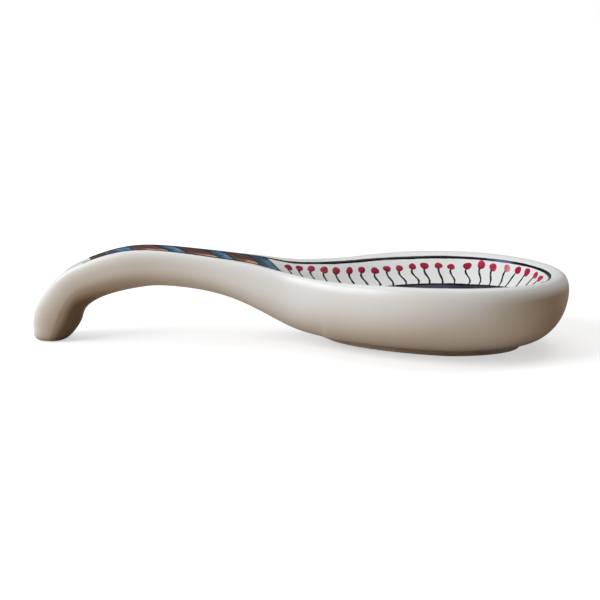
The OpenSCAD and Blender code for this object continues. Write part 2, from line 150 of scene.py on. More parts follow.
def unit(v):
    """Each vector divided by its own length."""
    return v / np.maximum(np.linalg.norm(v, axis=-1, keepdims=True), 1e-9)


print("slopes:", SLOPES.shape, "hollow at half way:", round(float(hollow(0.5)), 3))

# %% [markdown]
# ## The upper surface
# A point is named by its rib, by its side, -1 near and 1 far, and by t, which
# runs from 0 on the middle line to 1 on the crest of the lip. The same function
# carries the clay and every brush stroke on it, so the paint can't float.

# %% Points of the upper surface
def base_z(x):
    """Height of the flat base: level round the nose, rising by BASE_RISE of the
    way behind the widest place, less BEND times the square of the way bent."""
    behind = np.maximum(0, MID_X - x)
    bent = np.clip(behind - BEND_FROM, 0, BEND_LONG)
    return FOOT_H + BASE_RISE * behind - BEND * bent ** 2


def rib_values(rib):
    """Top and bottom points, crest half width, roll, hollow and bulge at a rib."""
    r = rail(rib - FAN)
    zero = np.zeros_like(r[..., 0])
    top = np.stack([np.maximum(MID_X - RUN * r[..., 0], -LENGTH / 2), zero,
                    np.maximum(LIP * r[..., 2] + CROWN * r[..., 3], 0)], -1)
    z = FOOT_H * r[..., 4] + CROWN * r[..., 5]
    bottom_x = MID_X - RUN * r[..., 1]
    base = np.where(rib < FAN + BASE_RIBS, base_z(bottom_x), 0)
    foot = np.stack([bottom_x, zero, np.maximum(z, base)], -1)
    crest = np.maximum(CREST_HALF * r[..., 6] + TOP_W / 2 * r[..., 7], 0)
    way = np.clip((rib - FAN - THIN_RIBS) / (END - FAN - THIN_RIBS), 0, 1)
    fade = np.sqrt(1 - way ** 2)
    roll = (SIDE_ROLL + (LIP_ROLL - SIDE_ROLL) * np.clip(r[..., 6], 0, 1)) * fade
    return top, foot, crest, roll, np.maximum(r[..., 8], 0) * DEPTH, BULGE_K * r[..., 9]


def upper(rib, side, t):
    """Round the nose: an ellipse of angle 15 rib, scaled by t, lowered by
    DEPTH (1 - hollow(t)) and by NOSE_DIP (t cos angle)^2. Behind it: top + width t
    - up dip (1 - hollow(t))."""
    rib, side, t = np.broadcast_arrays(*[np.asarray(v, float) for v in (rib, side, t)])
    a = np.radians(90 * np.minimum(rib, FAN) / FAN)
    nose = np.stack([MID_X + CREST_FRONT * np.cos(a) * t,
                     side * CREST_HALF * np.sin(a) * t,
                     LIP - NOSE_DIP * (np.cos(a) * t) ** 2
                     - DEPTH * (1 - hollow(t))], -1)
    top, foot, crest, _, dip, _ = rib_values(rib)
    up = unit(top - foot)
    rear = top - up * (dip * (1 - hollow(t)))[..., None]
    rear[..., 1] += side * crest * t
    return np.where((rib <= FAN)[..., None], nose, rear)


def upper_normal(rib, side, t):
    """Across the surface: the cross product of a small step along the ribs and
    one along t, turned to point up."""
    t = np.maximum(t, 0.01)
    along = upper(rib + 0.01, side, t) - upper(np.maximum(rib - 0.01, 0), side, t)
    across = upper(rib, side, np.minimum(t + 0.005, 1)) - upper(rib, side, t - 0.005)
    n = unit(np.cross(along, across))
    return n * np.where(n[..., 2:] < 0, -1, 1)


print("deepest point, mm:", upper(0, 1, 0).round(2))
print("crest at the nose, mm:", upper(0, 1, 1).round(2))

# %% [markdown]
# ## From arrays to a mesh
# Every piece is a grid of points. This helper joins neighbours by four-sided
# faces, closes a grid that comes back to its own start, merges points that fall
# on each other at poles and seams, and turns all faces outwards.

# %% Grid to mesh
def grid_piece(name, points, wrap_rows=False, wrap_cols=False, tone=None):
    """points has the shape (pieces, rows, columns, 3) or (rows, columns, 3), in
    millimetres. Face (i, j) joins i, i + 1 and j, j + 1, modulo when wrapped.
    tone is a number for each point, kept as an attribute for the material."""
    points = np.asarray(points, float)
    if points.ndim == 3:
        points = points[None]
    s, m, n, _ = points.shape
    i = np.arange(m if wrap_rows else m - 1)[:, None]
    j = np.arange(n if wrap_cols else n - 1)[None, :]
    i1, j1 = (i + 1) % m, (j + 1) % n
    one = np.stack([i * n + j, i1 * n + j, i1 * n + j1, i * n + j1], -1).reshape(-1, 4)
    faces = (one[None] + (np.arange(s) * m * n)[:, None, None]).reshape(-1, 4)
    mesh = bpy.data.meshes.new(name)
    mesh.from_pydata((points.reshape(-1, 3) / 1000).tolist(), [], faces.tolist())
    if tone is not None:
        mesh.attributes.new("tone", "FLOAT", "POINT").data.foreach_set(
            "value", np.ravel(tone).astype(np.float32))
    bm = bmesh.new()
    bm.from_mesh(mesh)
    bmesh.ops.remove_doubles(bm, verts=bm.verts, dist=1e-7)
    bmesh.ops.dissolve_degenerate(bm, dist=1e-8, edges=bm.edges)
    bmesh.ops.recalc_face_normals(bm, faces=bm.faces)
    bm.to_mesh(mesh)
    bm.free()
    mesh.polygons.foreach_set("use_smooth", np.ones(len(mesh.polygons), bool))
    obj = bpy.data.objects.new(name, mesh)
    bpy.context.scene.collection.objects.link(obj)
    print(name, "faces:", len(mesh.polygons))
    return obj


def round_the_nose(end, nose_steps=12, rear_steps=12):
    """Ribs from end on the near side round the nose to end on the far side, with
    nose_steps or rear_steps to a rib, and the side of each, as two columns."""
    nose = np.arange(0, FAN * nose_steps + 1) / nose_steps
    rear = FAN + np.arange(1, (END - FAN) * rear_steps + 1) / rear_steps
    steps = np.concatenate([nose, rear])
    ribs = np.concatenate([[0], steps[(steps > 0) & (steps < end)], [end]])
    rib = np.concatenate([ribs[::-1], ribs[1:]])
    side = np.concatenate([-np.ones(len(ribs)), np.ones(len(ribs) - 1)])
    return rib[:, None], side[:, None]


print("ribs of the clay body:", len(round_the_nose(END, 14)[0]))

# %% [markdown]
# ## Colours and shader nodes
# Colours are written as on a screen and turned to linear light once. One helper
# adds a node, sets its inputs and joins its links.

# %% Colour and node helpers
def colour(code):
    """A screen colour such as e8e4da as linear red, green, blue and alpha 1."""
    c = np.array([int(code[k:k + 2], 16) / 255 for k in (0, 2, 4)])
    return (*np.where(c <= 0.04045, c / 12.92, ((c + 0.055) / 1.055) ** 2.4), 1.0)


def add(tree, kind, settings=None, stops=(), **inputs):
    """A new node. settings are its own fields; stops are a ramp's (place, colour
    code) pairs in rising order; inputs are values, or outputs to link, keyed by
    socket name, with an underscore for a space, or by i and number."""
    node = tree.nodes.new(kind)
    for key, value in (settings or {}).items():
        setattr(node, key, value)
    if stops:
        while len(node.color_ramp.elements) < len(stops):
            node.color_ramp.elements.new(0.5)
        for element, (place, code) in zip(node.color_ramp.elements, stops):
            element.position, element.color = place, colour(code)
    for key, value in inputs.items():
        number = key[0] == "i" and key[1:].isdigit()
        socket = node.inputs[int(key[1:]) if number else key.replace("_", " ")]
        if isinstance(value, bpy.types.NodeSocket):
            tree.links.new(value, socket)
        else:
            socket.default_value = value
    return node


def new_material(name):
    """A material without nodes; returns the material and its empty tree."""
    material = bpy.data.materials.new(name)
    material.use_nodes = True
    material.node_tree.nodes.clear()
    return material, material.node_tree


print("white in linear light:", colour("ffffff")[:3])

# %% [markdown]
# ## The glaze
# Stoneware under a cream tin glaze, a little clouded. Its colour carries painted
# shade: it turns brown and darker towards the handle's tip, on faces turned away
# from the lamp at the left, such as the upright faces of the nose, and on faces
# turned down under the belly, while the tip's faces turned to that lamp stay pale.
# Iron in the clay leaves a few dark specks. The surface is nearly smooth, with the
# faint waves that a dipped glaze has.

# %% Cream glaze
def cream_glaze():
    """Amount of brown: (tip low turned_from_lamp + nose) upright + down + patchy, where
    each name is a share that grows with a place or with a way the face looks.
    All but patchy are painted shade: brown towards the tip and on faces turned down
    or away from the lamp at the left, while painted light keeps the tip's faces
    turned to that lamp pale.
    Clouds are about 36 mm wide and waves 18 mm. Specks are 0.6 to 0.9 mm wide, in
    about one in four cells of 12 mm."""
    material, tree = new_material("cream_tin_glaze")
    place = add(tree, "ShaderNodeTexCoord")
    xyz = add(tree, "ShaderNodeSeparateXYZ", Vector=place.outputs["Object"])
    facing = add(tree, "ShaderNodeSeparateXYZ", Vector=place.outputs["Normal"])
    cloud = add(tree, "ShaderNodeTexNoise", Vector=place.outputs["Object"],
                Scale=28.0, Detail=4.0, Roughness=0.6)
    # painted shade: browner towards the handle's tip
    tip = add(tree, "ShaderNodeMapRange", Value=xyz.outputs["X"],
              i1=-0.005, i2=-0.120, i3=0.0, i4=0.72)
    # painted shade: brown on faces turned away from the lamp at the left, as on the
    # nose
    nose = add(tree, "ShaderNodeMapRange", Value=facing.outputs["X"],
               i1=0.2, i2=0.8, i3=0.0, i4=0.74)
    # painted light: the tip's faces turned to the lamp at the left stay pale
    turned_from_lamp = add(tree, "ShaderNodeMapRange", Value=facing.outputs["X"],
                   i1=-0.4, i2=0.1, i3=0.0, i4=1.0)
    # painted shade: a little more brown low down on the tip
    low = add(tree, "ShaderNodeMapRange", Value=xyz.outputs["Z"],
              i1=0.034, i2=0.014, i3=0.8, i4=1.0)
    low_tip = add(tree, "ShaderNodeMath", {"operation": "MULTIPLY"},
                  i0=tip.outputs[0], i1=low.outputs[0])
    ends = add(tree, "ShaderNodeMath", {"operation": "MULTIPLY_ADD"},
               i0=low_tip.outputs[0], i1=turned_from_lamp.outputs[0], i2=nose.outputs[0])
    # painted shade: the tip and nose brown goes only on upright faces, not on faces
    # turned up
    upright = add(tree, "ShaderNodeMapRange", Value=facing.outputs["Z"],
                  i1=0.5, i2=0.1, i3=0.0, i4=1.0)
    # painted shade: brown on faces turned down
    down = add(tree, "ShaderNodeMapRange", Value=facing.outputs["Z"],
               i1=-0.2, i2=-0.95, i3=0.0, i4=0.18)
    # everything summed so far is painted shade; patchy below is the glaze's own
    # clouding
    thin = add(tree, "ShaderNodeMath", {"operation": "MULTIPLY_ADD"},
               i0=ends.outputs[0], i1=upright.outputs[0], i2=down.outputs[0])
    patchy = add(tree, "ShaderNodeMath", {"operation": "MULTIPLY_ADD"},
                 i0=cloud.outputs[0], i1=0.14, i2=-0.06)
    amount = add(tree, "ShaderNodeMath", {"operation": "ADD", "use_clamp": True},
                 i0=thin.outputs[0], i1=patchy.outputs[0])
    cream = add(tree, "ShaderNodeValToRGB", Fac=amount.outputs[0],
                stops=[(0.0, "eeeeec"), (0.12, "eae7e1"), (0.35, "d8d0c5"),
                       (0.68, "b09a85"), (1.0, "75604b")])
    dots = add(tree, "ShaderNodeTexVoronoi", Vector=place.outputs["Object"],
               Scale=85.0, Randomness=1.0)
    near = add(tree, "ShaderNodeMapRange", Value=dots.outputs["Distance"],
               i1=0.024, i2=0.040, i3=1.0, i4=0.0)
    pick = add(tree, "ShaderNodeSeparateColor", Color=dots.outputs["Color"])
    rare = add(tree, "ShaderNodeMath", {"operation": "GREATER_THAN"},
               i0=pick.outputs[0], i1=0.72)
    speck = add(tree, "ShaderNodeMath", {"operation": "MULTIPLY"},
                i0=near.outputs[0], i1=rare.outputs[0])
    specked = add(tree, "ShaderNodeMix", {"data_type": "RGBA"},
                  i0=speck.outputs[0], i6=cream.outputs[0], i7=colour("5b4a3a"))
    waves = add(tree, "ShaderNodeTexNoise", Vector=place.outputs["Object"],
                Scale=55.0, Detail=2.0)
    bump = add(tree, "ShaderNodeBump", Strength=0.10, Distance=0.001,
               Height=waves.outputs[0])
    rough = add(tree, "ShaderNodeMapRange", Value=cloud.outputs[0],
                i1=0.3, i2=0.7, i3=0.27, i4=0.36)
    shader = add(tree, "ShaderNodeBsdfPrincipled", Base_Color=specked.outputs[2],
                 Roughness=rough.outputs[0], IOR=1.5, Specular_IOR_Level=0.4,
                 Normal=bump.outputs[0], Coat_Weight=0.06, Coat_Roughness=0.12)
    add(tree, "ShaderNodeOutputMaterial", Surface=shader.outputs[0])
    return material


glaze = cream_glaze()
print("glaze nodes:", len(glaze.node_tree.nodes))

# %% [markdown]
# ## The clay body
# Bowl and handle were luted together and fired as one, so no seam shows, and one
# mesh stands for both solids. Each rib runs from the middle of the hollow, over
# the crest, round the rolled lip and down the belly to the base.

# %% Bowl and handle
def base_half(x):
    """Half width of the flat base: FOOT_W / 2 (1 - d^2)^0.7 with d the share of
    the way from the widest place back to the base's rear end."""
    d = np.clip((MID_X - x) / BASE_BACK, 0, 1)
    return FOOT_W / 2 * (1 - d * d) ** 0.7


def outside(rib, side, lip_steps=12, belly_steps=26):
    """Two quarter curves in the rib's own plane. Lip: crest + roll sin b wide and
    (1 - k)(1 - cos b) down. Belly: base + (bulge - base) cos^p c wide and
    1 - k (1 - sin c) down, with p 1.25 over the ring's sides, 1.08 at its front
    and 1 where there is no base. Down is a share of the way from top to foot."""
    b = np.radians(np.linspace(0, 90, lip_steps + 1))[1:]
    c = np.radians(np.linspace(0, 90, belly_steps + 1))[1:]
    top, foot, crest, roll, _, rail_k = rib_values(rib)
    a = np.radians(90 * np.minimum(rib, FAN) / FAN)
    lip_z = LIP - NOSE_DIP * np.cos(a) ** 2
    nose = rib <= FAN
    k = np.where(nose, (BULGE - FOOT_H) / (lip_z - FOOT_H), rail_k)
    half = base_half(foot[..., 0])
    cos = np.maximum(np.cos(c), 0)
    wide = np.concatenate([crest + roll * np.sin(b), half + (crest + roll - half)
                           * cos ** (1 + 0.25 * half / (FOOT_W / 2))], 1)
    long = np.concatenate([CREST_FRONT + LIP_ROLL * np.sin(b),
                           BASE_FRONT + (NOSE - BASE_FRONT) * cos ** 1.08])
    down = np.concatenate([(1 - k) * (1 - np.cos(b)), 1 - k * (1 - np.sin(c))], 1)
    front = np.stack([MID_X + long * np.cos(a), side * wide * np.sin(a),
                      lip_z + (FOOT_H - lip_z) * down], -1)
    rear = top + (foot - top) * down[..., None]
    rear[..., 1] += side * wide
    return np.where(nose[..., None], front, rear)


def clay_body():
    """The closed grid: ribs round the piece by points from middle top to middle
    bottom. t is crowded towards the crest, where the hollow turns most."""
    rib, side = round_the_nose(END, 14)
    t = np.sin(np.radians(np.linspace(0, 90, 41)))[None, :] ** 0.8
    inner = upper(rib, side, t)
    shell = outside(rib, side)
    rear = rib_values(rib)[1]
    middle = np.where((rib <= FAN)[..., None], [[[MID_X, 0, FOOT_H]]], rear)
    inwards = np.linspace(1, 0, 7)[None, 1:, None]
    base = middle + (shell[:, -1:] - middle) * inwards
    return grid_piece("glazed_body", np.concatenate([inner, shell, base], 1),
                      wrap_rows=True)


body = clay_body()
body.data.materials.append(glaze)
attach(body, "root")
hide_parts("bowl", "handle")

# %% [markdown]
# ## The foot ring
# Glaze would stick to the kiln shelf, so the potter wipes it off the ring. What
# shows is bare fired clay: dull, sandy and a little cloudy. The ring is an
# egg-shaped loop, narrow towards the handle. It could be turned as a round ring
# and pulled long, but its wall would change with it. So its section, a low block
# with rounded corners, is carried round the loop.

# %% Bare clay
def bare_clay():
    """Fired clay without glaze: rough, so light spreads; sand grains 0.8 mm wide."""
    material, tree = new_material("bare_fired_stoneware")
    place = add(tree, "ShaderNodeTexCoord")
    cloud = add(tree, "ShaderNodeTexNoise", Vector=place.outputs["Object"],
                Scale=90.0, Detail=6.0, Roughness=0.65)
    grains = add(tree, "ShaderNodeTexVoronoi", Vector=place.outputs["Object"],
                 Scale=1250.0)
    tint = add(tree, "ShaderNodeValToRGB", Fac=cloud.outputs[0],
               stops=[(0.25, "c2a994"), (0.5, "dac5b3"), (0.8, "eadccf")])
    bump = add(tree, "ShaderNodeBump", Strength=0.35, Distance=0.0004,
               Height=grains.outputs["Distance"])
    shader = add(tree, "ShaderNodeBsdfPrincipled", Base_Color=tint.outputs[0],
                 Roughness=0.82, IOR=1.5, Normal=bump.outputs[0])
    add(tree, "ShaderNodeOutputMaterial", Surface=shader.outputs[0])
    return material


clay = bare_clay()
print("bare clay nodes:", len(clay.node_tree.nodes))

# %% The ring
def foot_ring():
    """Loop: an ellipse at share of the base's size, its rear half drawn out with
    |sin|^1.24. Section: a block FOOT_RIM wide with corners of radius r, from the
    table into the clay body. Its underside rises by RING_RISE of the way back."""
    a = np.radians(np.arange(0, 360, 2.0))
    corner = np.radians(np.linspace(0, 90, 6))
    r, into, share = 0.9, 0.25, 0.97
    inset = np.concatenate([[0], r * (1 - np.cos(corner)),
                            FOOT_RIM - r + r * np.sin(corner), [FOOT_RIM]])
    z = np.concatenate([[FOOT_H + into], r * (1 - np.sin(corner)),
                        r * (1 - np.cos(corner)), [FOOT_H + into]])
    front = np.cos(a)[:, None] > 0
    reach = np.where(front, BASE_FRONT, BASE_BACK) * share - inset
    wide = np.where(front, np.sin(a)[:, None],
                    (np.sign(np.sin(a)) * np.abs(np.sin(a)) ** 1.24)[:, None])
    x = MID_X + reach * np.cos(a)[:, None]
    y = (FOOT_W / 2 * share - inset) * wide
    way = np.clip((MID_X - x) / BASE_BACK, 0, 1)
    rest = RING_RISE * BASE_BACK * way
    z = rest + (base_z(x) - rest) * z / FOOT_H
    points = np.stack([x, y, z], -1)
    return grid_piece("foot_ring_bare", points, wrap_rows=True, wrap_cols=True)


foot = foot_ring()
foot.data.materials.append(clay)
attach(foot, "root")
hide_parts("foot_ring")

# %% [markdown]
# ## The camera
# The camera comes before the paint, because the dabs and bands are placed by
# where they are seen. It stands 650 mm away, turned 4 degrees to the right and
# raised 12.4 degrees, at which the piece's outline falls on that of the picture.

# %% Camera
TURN, RAISE, DISTANCE = np.radians(4.0), np.radians(12.4), 650.0
AIM = np.array([0.67, 0.0, 20.73])
FRAME_PX, MM_PER_PX = 600.0, 0.4768      # a pixel's size at that distance
PX_PER_RAD = DISTANCE / MM_PER_PX
BACK = np.array([np.sin(TURN) * np.cos(RAISE), -np.cos(TURN) * np.cos(RAISE),
                 np.sin(RAISE)])
RIGHT = np.array([np.cos(TURN), np.sin(TURN), 0.0])
UP = np.cross(BACK, RIGHT)
EYE = AIM + DISTANCE * BACK


def aimed(right, up, back, place):
    """The matrix of a camera or lamp: its three axes and its place as columns."""
    matrix = np.eye(4)
    matrix[:3] = np.stack([right, up, back, place], 1)
    return Matrix(matrix.tolist())


camera = bpy.data.objects.new("camera", bpy.data.cameras.new("camera"))
camera.data.sensor_width = 36.0
camera.data.lens = PX_PER_RAD / FRAME_PX * camera.data.sensor_width
camera.data.clip_start = 0.01
camera.matrix_world = aimed(RIGHT, UP, BACK, EYE / 1000)
bpy.context.scene.collection.objects.link(camera)
bpy.context.scene.camera = camera


def pixel(point):
    """Where a point in millimetres falls in a frame of 600 by 600: its parts
    along RIGHT and UP over its depth, times PX_PER_RAD, from the middle."""
    ray = point - EYE
    depth = -ray @ BACK
    across = np.stack([ray @ RIGHT, -ray @ UP], -1)
    return FRAME_PX / 2 + PX_PER_RAD * across / depth[..., None]


print("lens, mm:", round(camera.data.lens, 1))
print("the nose falls at pixel:", pixel(upper(0, 1, 1)).round(1))

# %% [markdown]
# ## How the paint lies
# Underglaze colour is thin: a dome of about a tenth of a millimetre that sinks
# into the glaze at its edges. It could be a pattern in the glaze's material, but
# then no mark would be a piece of its own. So each mark is a closed lens, with
# real edges from every side. Marks are drawn in two numbers, the rib and a signed
# t, plus on the far side and minus on the near side. A tone goes with each point,
# and the materials turn it into thick and thin colour.

# %% Paint on the upper surface
THICK, SUNK = 0.13, 0.05       # millimetres above and below the clay


def wobble(x, seed, amount=1.0):
    """A slow uneven wave for hand-drawn edges: three sines of unlike lengths."""
    return amount * (0.5 * np.sin(1.7 * x + seed) + 0.3 * np.sin(4.1 * x + 2.3 * seed)
                     + 0.2 * np.sin(9.7 * x + 4.9 * seed))


def on_top(rib, t, height=0.0):
    """Point of the upper surface at a signed t, moved out by height. A rib below
    0 has passed the nose and comes back on the other side."""
    given = [np.asarray(v, float) for v in (rib, t, height)]
    rib, t, height = np.broadcast_arrays(*given)
    side = np.where(t < 0, -1.0, 1.0) * np.where(rib < 0, -1.0, 1.0)
    rib, t = np.abs(rib), np.abs(t)
    return upper(rib, side, t) + upper_normal(rib, side, t) * height[..., None]


def mm_per_rib(rib, t):
    """Length of the surface for one rib, by a small step."""
    ahead, behind = on_top(rib + 0.02, t), on_top(rib - 0.02, t)
    return np.linalg.norm(ahead - behind, axis=-1) / 0.04


def mm_per_t(rib, t):
    """Length of the surface for a whole step of t, by a small step."""
    outer, inner = on_top(rib, t + 0.005), on_top(rib, t - 0.005)
    return np.linalg.norm(outer - inner, axis=-1) / 0.01


def lens(name, rib, t, dome, tone, slot, material, nodes, **wrap):
    """A closed mark. The top runs over the last axis, (THICK + SUNK) dome above
    the underside, which runs back SUNK below the clay."""
    rib, t, dome, tone = np.broadcast_arrays(rib, t, dome, tone)
    both = [np.concatenate([v, v[..., ::-1]], -1) for v in (rib, t, tone)]
    height = np.concatenate([dome * (THICK + SUNK), 0 * dome[..., ::-1]], -1) - SUNK
    piece = grid_piece(name, on_top(both[0], both[1], height), tone=both[2], **wrap)
    piece.data.materials.append(material)
    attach(piece, "root")
    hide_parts(*nodes)
    return piece


print("one rib behind the widest place, mm:",
      mm_per_rib(np.array(6.5), np.array(0.9)).round(1))

# %% [markdown]
# ## Brushed colours
# All colours lie under one clear glaze, so they differ in colour first and only a
# little in gloss: the floor and the two washes of the handle look duller. Thick
# paint is dark, thin paint lets the cream through, and the brush leaves it
# uneven. One function makes them all, from a ramp of colours.

# %% Underglaze material
def brushed(name, stops, streak=0.35, grain=260.0, roughness=0.25, coat=0.03,
            shine=0.15):
    """Ramp over tone + 2 streak (noise - 0.5), the second part cut at half of
    streak. Noise cells are about 1000 / grain mm wide."""
    material, tree = new_material(name)
    place = add(tree, "ShaderNodeTexCoord")
    tone = add(tree, "ShaderNodeAttribute", {"attribute_name": "tone"})
    noise = add(tree, "ShaderNodeTexNoise", Vector=place.outputs["Object"],
                Scale=grain, Detail=3.0, Roughness=0.55)
    spread = add(tree, "ShaderNodeMapRange", Value=noise.outputs[0],
                 i1=0.25, i2=0.75, i3=-streak / 2, i4=streak / 2)
    total = add(tree, "ShaderNodeMath", {"operation": "ADD", "use_clamp": True},
                i0=tone.outputs["Fac"], i1=spread.outputs[0])
    tint = add(tree, "ShaderNodeValToRGB", Fac=total.outputs[0], stops=stops)
    bump = add(tree, "ShaderNodeBump", Strength=0.12, Distance=0.0003,
               Height=noise.outputs[0])
    shader = add(tree, "ShaderNodeBsdfPrincipled", Base_Color=tint.outputs[0],
                 Roughness=roughness, IOR=1.5, Specular_IOR_Level=shine,
                 Normal=bump.outputs[0], Coat_Weight=coat, Coat_Roughness=0.06)
    add(tree, "ShaderNodeOutputMaterial", Surface=shader.outputs[0])
    return material


# black from a full brush, blue-grey where the brush ran dry
black = brushed("black_underglaze_line",
                [(0.0, "040406"), (0.5, "0c0d10"), (0.8, "33475e"), (1.0, "6f879e")],
                streak=0.2)
# a wide wash, clouded and duller than the lines
slate = brushed("slate_underglaze_wash",
                [(0.0, "26252e"), (0.45, "424055"), (0.8, "58566a"), (1.0, "706e7a")],
                streak=0.5, grain=90.0, roughness=0.5, coat=0.0)
# the same black from a thin brush, greyer as it empties
ink = brushed("thin_black_stem_line",
              [(0.0, "101211"), (0.5, "1f2120"), (1.0, "565854")], streak=0.4)
# a full dab, deep in the middle and pink at its thin rim
crimson = brushed("crimson_underglaze_dab",
                  [(0.0, "8c0f2a"), (0.3, "b01b3f"), (0.6, "cc3e60"), (1.0, "de96a8")],
                  streak=0.35)
# the two washes of the handle, whose tone carries the streaks of the brush
blue = brushed("blue_underglaze_wash",
               [(0.0, "16304c"), (0.35, "285473"), (0.7, "4f87a7"), (1.0, "97c1d6")],
               streak=0.45, grain=200.0, coat=0.0, shine=0.05)
brown = brushed("brown_underglaze_wash",
                [(0.0, "261315"), (0.3, "5a322f"), (0.65, "94604f"), (1.0, "d8a987")],
                streak=0.4, grain=200.0, coat=0.0, shine=0.05)
print("paints:", [m.name for m in (black, slate, ink, crimson, blue, brown)])

# %% [markdown]
# ## The rim line and the dark floor
# One long black stroke runs inside the lip, round the nose and on along both
# edges of the handle. The floor of the bowl is washed slate and ringed in black.

# %% Rim line
def rib_width(rib):
    """Millimetres for t = 1 on a rib, along its own direction."""
    a = np.radians(90 * np.minimum(np.abs(rib), FAN) / FAN)
    fan = np.hypot(CREST_FRONT * np.cos(a), CREST_HALF * np.sin(a))
    return np.where(np.abs(rib) <= FAN, fan,
                    np.maximum(rib_values(np.abs(rib))[2], TOP_W / 4))


INSET, RIM_W, FLOOR_W = 4.1, 1.6, 0.9
BANDS_END, FLOOR_END = FAN + 32 / 3, FAN + 14 / 3
RIM_THINS = (14.6, 15.2)       # ribs between which the emptying brush thins


def rim_out(rib):
    """Outer edge of the rim line, as t: 1 less its inset over the rib's width."""
    share = np.interp(np.abs(rib), FAN + np.array([1, 2, 3, 4.5, 5.3, 6, 6.5, 7, 16]),
                      [1, 0.82, 0.68, 0.68, 0.85, 0.7, 0.48, 0.12, 0.06])
    return 1 - INSET * share / rib_width(rib)


def rim_in(rib):
    """Inner edge of the rim line: its outer edge less its width."""
    share = np.interp(np.abs(rib), FAN + np.array([-6, 2, 4, 5, 6, 10.6]),
                      [1, 1, 0.95, 1.15, 1.1, 0.5])
    return rim_out(rib) - RIM_W * share / rib_width(rib)


def rim_line():
    """A lens along the way, uneven by up to 0.12 mm, and drawn out thin towards
    its ends. The near stroke thins 0.3 of a rib sooner. tone is lighter at the
    far side of the nose, where the brush ran dry."""
    rib, side = round_the_nose(BANDS_END, 16, 16)
    way = rib * side
    uneven = wobble(way * 1.3, 0.4, 0.12) / rib_width(rib)
    end = np.clip((BANDS_END - rib) / 0.5, 0, 1) ** 0.5
    end = end * np.interp(rib + 0.3 * (side < 0), RIM_THINS, [1.0, 0.15])
    mid, half = (rim_out(rib) + rim_in(rib)) / 2, (rim_out(rib) - rim_in(rib)) / 2
    v = np.linspace(-1, 1, 7)[None, :]
    half = (half + uneven) * end
    tone = 0.15 + 0.75 * np.exp(-((way - 3.6) / 0.7) ** 4) + 0 * v
    return lens("rim_line_brushed", rib, side * (mid + half * v),
                1.5 * np.sqrt(1 - v ** 2), tone, "black_line", black, ["rim_line"],
                wrap_cols=True)


rim_line()

# %% Dark floor and its outline
def floor_edge(rib):
    """Half width of the dark floor, as t: 0.614 (1 - d^2.4)^0.55 behind the nose,
    and more by 0.1 n^2 round it, with n from 0 at the widest place to 1."""
    d = np.clip((np.abs(rib) - FAN) / (FLOOR_END - FAN), 0, 1)
    n = np.clip(1 - np.abs(rib) / FAN, 0, 1)
    return 0.614 * (1 - d ** 2.4) ** 0.55 + 0.1 * n * n


def floor_panel():
    """From the middle line to the edge on both sides; flat, with a falling edge."""
    rib, side = round_the_nose(FLOOR_END)
    v = 1 - np.linspace(1, 0, 25)[None, :] ** 2
    t = (floor_edge(rib) + FLOOR_W / 2 / rib_width(rib)) * v
    to_edge = np.minimum((1 - v) * 12, (FLOOR_END - rib) * 4)
    dome = np.sqrt(np.clip(to_edge, 0, 1)) + 0 * t
    tone = 0.42 + wobble(rib * side + 5 * v, 1.1, 0.16) - 0.25 * v ** 6
    return lens("dark_floor_wash", rib, side * t, dome, tone, "slate",
                slate, ["floor_panel"])


def floor_line():
    """A lens along the floor's edge, closed round the nose and at its rear tip."""
    rib, side = round_the_nose(FLOOR_END)
    v = np.linspace(-1, 1, 7)[None, :]
    half = FLOOR_W / 2 * (1 + wobble(rib * side * 2, 2.2, 0.3)) / rib_width(rib)
    half = half * np.clip((FLOOR_END - rib) / 0.3, 0, 1) ** 0.5
    t = floor_edge(rib) + FLOOR_W / 2 / rib_width(rib) + half * v
    return lens("floor_outline", rib, side * t, np.sqrt(1 - v ** 2), 0.2 + 0 * v,
                "black_line", black, ["floor_line"], wrap_cols=True)


floor_panel()
floor_line()

# %% [markdown]
# ## Buds and stems
# Each bud is one dab of a loaded brush and each stem one flick of a thin one, so
# no two are alike. The far row is placed in the picture: where the dab sits, how
# wide and high it looks in pixels, how it tilts, how thin its colour is, and where
# its stem ends. The near row, which the picture hides, mirrors the far one, but
# each dab has its neighbour's look and lies a little further on.

# %% Places of the buds
# middles of the far row's dabs, pixels from the left and from the top
BUD_PX = np.array([
    (288.5, 267.4), (299.3, 268.3), (311.1, 268.8), (324.1, 270.0), (336.1, 270.9),
    (349.4, 270.7), (361.6, 270.0), (374.9, 270.7), (386.9, 268.8), (399.3, 268.3),
    (412.4, 266.5), (424.5, 265.8), (438.5, 265.6), (451.0, 266.8), (467.4, 266.0),
    (481.4, 264.8), (493.1, 267.3), (507.1, 268.4), (518.1, 270.2), (527.1, 272.2),
    (535.6, 275.3), (540.3, 278.5)])
# width and height in pixels, degrees turned clockwise, thinness of the colour
BUD_LOOK = np.array([
    (9.0, 4.6, 24, .10), (7.6, 5.4, 24, .15), (8.0, 6.0, 10, .20), (8.6, 6.8, 8, .20),
    (7.8, 7.8, 20, .05), (7.0, 7.6, -6, .10), (7.8, 6.6, 18, .05), (8.4, 6.9, 14, .12),
    (8.2, 6.1, 24, .15), (7.8, 6.2, 18, .15), (7.6, 6.4, 10, .12), (9.0, 6.7, 18, .10),
    (8.4, 6.0, 10, .15), (8.2, 5.8, 0, .15), (8.8, 7.1, -14, .12), (7.8, 9.2, 4, .28),
    (7.6, 8.2, 6, .42), (6.2, 8.0, 15, .75), (6.0, 8.4, 20, .25), (5.6, 8.8, 25, .25),
    (4.2, 7.6, 32, .28), (3.9, 7.8, 42, .25)])
